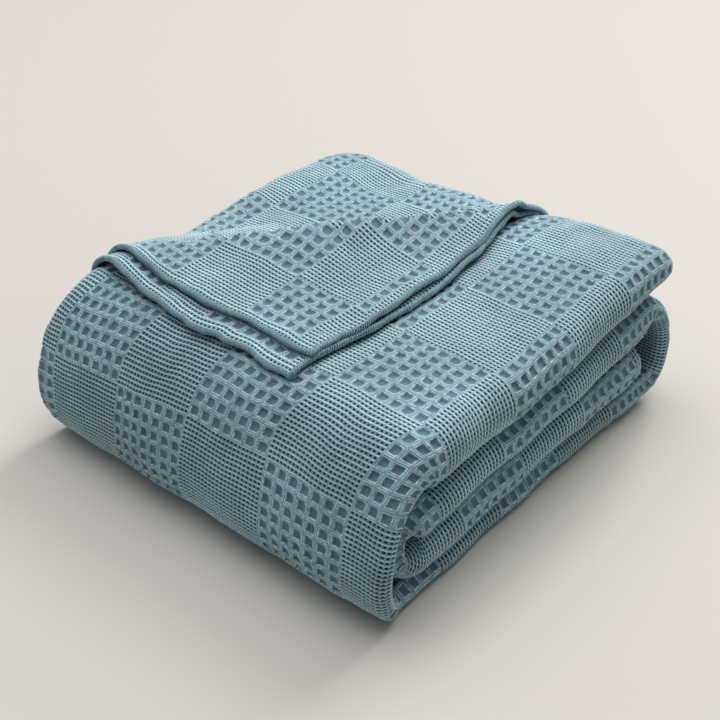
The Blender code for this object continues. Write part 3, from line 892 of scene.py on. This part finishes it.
STITCH_APART, STITCH_RADIUS, STITCH_THREAD = 0.0025, 0.00260, 0.00050
STITCH_SLANT = math.radians(22)
STITCH_SIZES, STITCH_SEED = (0.92, 1.06), 4  # no two are quite as big
RING_SIDES, THREAD_SIDES = 8, 3
RIM_MIDDLE = RIM / CELL  # how far the rim's middle lies from the edge, in cells
STITCH_STEP = 0.25  # cells between the points of a hem's path
FROM_FOLD, FROM_NOSE = 1.5, 1.0  # how far from the left fold and from the nose's tip they end, in cells


def hem_path(corner_column, last_column, hem_row, inward):
    """Columns and rows along the end hem of a cover ply and round its corner along its side hem."""
    along_end = np.arange(last_column, corner_column + inward * RIM_MIDDLE, -inward * STITCH_STEP)
    along_side = np.arange(hem_row + 2.0 * RIM_MIDDLE, ROW_END - FROM_NOSE, STITCH_STEP)
    columns = np.concatenate([along_end, np.full(len(along_side), corner_column + inward * RIM_MIDDLE)])
    rows = np.concatenate([np.full(len(along_end), hem_row + RIM_MIDDLE), along_side])
    return columns, rows


stitch_points, stitch_edges = [], []
for corner_column, last_column, hem_row, inward in (
        (UPPER_HEM, D_LEFT + FROM_FOLD, UPPER_ROW, -1), (LOWER_HEM, C_LEFT - FROM_FOLD, LOWER_ROW, 1)):
    path = on_cloth(*hem_path(corner_column, last_column, hem_row, inward), 0.0) - centre
    first = sum(len(part) for part in stitch_points)
    stitch_points.append(path)
    stitch_edges += [(first + k, first + k + 1) for k in range(len(path) - 1)]
stitch_mesh = bpy.data.meshes.new("hem_path")
stitch_mesh.from_pydata(np.concatenate(stitch_points).tolist(), stitch_edges, [])
hem_line = added("hem_path", stitch_mesh)


def overcast_stitches(finish):
    """A tree that sets a slanted ring of thread round a path at even steps."""
    tree = bpy.data.node_groups.new("overcast stitches", "GeometryNodeTree")
    face = tree.interface
    face.new_socket("Path", in_out="INPUT", socket_type="NodeSocketGeometry")
    for name, value in (("Apart", STITCH_APART), ("Ring Radius", STITCH_RADIUS),
                        ("Thread Radius", STITCH_THREAD), ("Slant", STITCH_SLANT)):
        face.new_socket(name, in_out="INPUT", socket_type="NodeSocketFloat").default_value = value
    face.new_socket("Stitches", in_out="OUTPUT", socket_type="NodeSocketGeometry")
    given, made = tree.nodes.new("NodeGroupInput"), tree.nodes.new("NodeGroupOutput")
    line = tree.nodes.new("GeometryNodeMeshToCurve")
    steps = tree.nodes.new("GeometryNodeCurveToPoints")
    steps.mode = "LENGTH"
    ring = tree.nodes.new("GeometryNodeCurvePrimitiveCircle")
    ring.inputs["Resolution"].default_value = RING_SIDES
    profile = tree.nodes.new("GeometryNodeCurvePrimitiveCircle")
    profile.inputs["Resolution"].default_value = THREAD_SIDES
    thread = tree.nodes.new("GeometryNodeCurveToMesh")
    slant = tree.nodes.new("ShaderNodeCombineXYZ")
    turned = tree.nodes.new("GeometryNodeTransform")
    placed = tree.nodes.new("GeometryNodeInstanceOnPoints")
    size = tree.nodes.new("FunctionNodeRandomValue")
    size.data_type = "FLOAT"
    size.inputs[2].default_value, size.inputs[3].default_value = STITCH_SIZES
    size.inputs["Seed"].default_value = STITCH_SEED
    real = tree.nodes.new("GeometryNodeRealizeInstances")
    dressed = tree.nodes.new("GeometryNodeSetMaterial")
    dressed.inputs["Material"].default_value = finish
    for source, output, target, taken in (
        (given, "Path", line, "Mesh"),
        (line, "Curve", steps, "Curve"),
        (given, "Apart", steps, "Length"),
        (given, "Ring Radius", ring, "Radius"),
        (given, "Thread Radius", profile, "Radius"),
        (ring, "Curve", thread, "Curve"),
        (profile, "Curve", thread, "Profile Curve"),
        (given, "Slant", slant, "X"),
        (thread, "Mesh", turned, "Geometry"),
        (slant, "Vector", turned, "Rotation"),
        (steps, "Points", placed, "Points"),
        (steps, "Rotation", placed, "Rotation"),
        (turned, "Geometry", placed, "Instance"),
        (size, 1, placed, "Scale"),
        (placed, "Instances", real, "Geometry"),
        (real, "Geometry", dressed, "Geometry"),
        (dressed, "Geometry", made, "Stitches"),
    ):
        tree.links.new(source.outputs[output], target.inputs[taken])
    return tree


FIBRES = (1100.0, 3.0, 0.3, 0.7)  # as the noises above


def cotton_thread():
    """Soft spun cotton, in the colours of the cloth's own threads."""
    material, tree, shader = new_material("overcast thread", roughness=0.9)
    where = tree.nodes.new("ShaderNodeTexCoord").outputs["Object"]
    fibres = noise(tree, where, *FIBRES)
    tree.links.new(mixed(tree, fibres, THREAD_COLOUR, PALE_THREAD_AND_HIGHLIGHT_COLOUR), shader.inputs["Base Color"])
    raised(tree, shader, fibres, strength=0.5, distance=0.0002)
    return material


sewing = hem_line.modifiers.new("overcast", "NODES")
sewing.node_group = overcast_stitches(cotton_thread())
bpy.context.view_layer.update()
shaped = hem_line.evaluated_get(bpy.context.evaluated_depsgraph_get())
stitch_made = bpy.data.meshes.new_from_object(shaped)
bpy.data.objects.remove(hem_line)
stitch_made.shade_smooth()
stitches = added("hem_stitches", stitch_made)
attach(stitches, "root")

# ---- Floor, light and camera -------------------------------------------------
# A pale paper floor, lit by a wide soft lamp far behind, another overhead and a faint one in front. The
# camera stands where the photograph was taken from, which was fitted to the blanket's outline.

PAPER_COLOUR, FLOOR_WIDE = (0.680, 0.663, 0.643, 1.0), 30.0
WORLD_COLOUR, WORLD_STRENGTH = (1.0, 0.98, 0.95, 1.0), 0.22
# name, place, what it is aimed at, width, watts, colour
LAMPS = (
    ("window", (-0.60, 6.05, 5.20), (0.0, 0.0, 0.08), 3.4, 250.0, (1.0, 0.96, 0.90)),
    ("ceiling", (-0.5, 0.6, 3.4), (-0.2, 0.2, 0.0), 3.6, 72.0, (1.0, 0.98, 0.95)),
    ("fill", (-1.4, -1.2, 1.6), (0.0, 0.0, 0.08), 1.6, 3.0, (0.93, 0.97, 1.0)),
)
CAMERA = (0.85287056, -0.56098362, 0.75012245)  # before the cloth is centred
AZIMUTH, ELEVATION = math.radians(40.657), math.radians(34.570)
LENS, SENSOR = 66.35, 36.0  # in millimetres

bpy.ops.mesh.primitive_plane_add(size=FLOOR_WIDE)
floor = bpy.context.object
floor.name = "floor"
paper, _, paper_shader = new_material("pale floor", roughness=0.6)
paper_shader.inputs["Base Color"].default_value = PAPER_COLOUR
floor.data.materials.append(paper)

world = bpy.data.worlds.new("studio")
world.use_nodes = True
sky = world.node_tree.nodes["Background"]
sky.inputs["Color"].default_value = WORLD_COLOUR
sky.inputs["Strength"].default_value = WORLD_STRENGTH
scene = bpy.context.scene
scene.world = world
scene.view_settings.view_transform = "Standard"
scene.view_settings.look = "Medium High Contrast"


def lamp(name, place, aim, size, power, colour):
    """A square lamp, aimed at a point."""
    data = bpy.data.lights.new(name, "AREA")
    data.size = size
    data.energy = power
    data.color = colour
    thing = added(name, data)
    thing.location = place
    thing.rotation_mode = "QUATERNION"
    thing.rotation_quaternion = Vector(np.array(aim) - np.array(place)).to_track_quat("-Z", "Y")


for given in LAMPS:
    lamp(*given)

camera_data = bpy.data.cameras.new("camera")
camera_data.lens = LENS
camera_data.sensor_width = SENSOR
camera = added("camera", camera_data)
camera.location = np.array(CAMERA) - centre
camera.rotation_euler = (math.pi / 2.0 - ELEVATION, 0.0, AZIMUTH)
scene.camera = camera
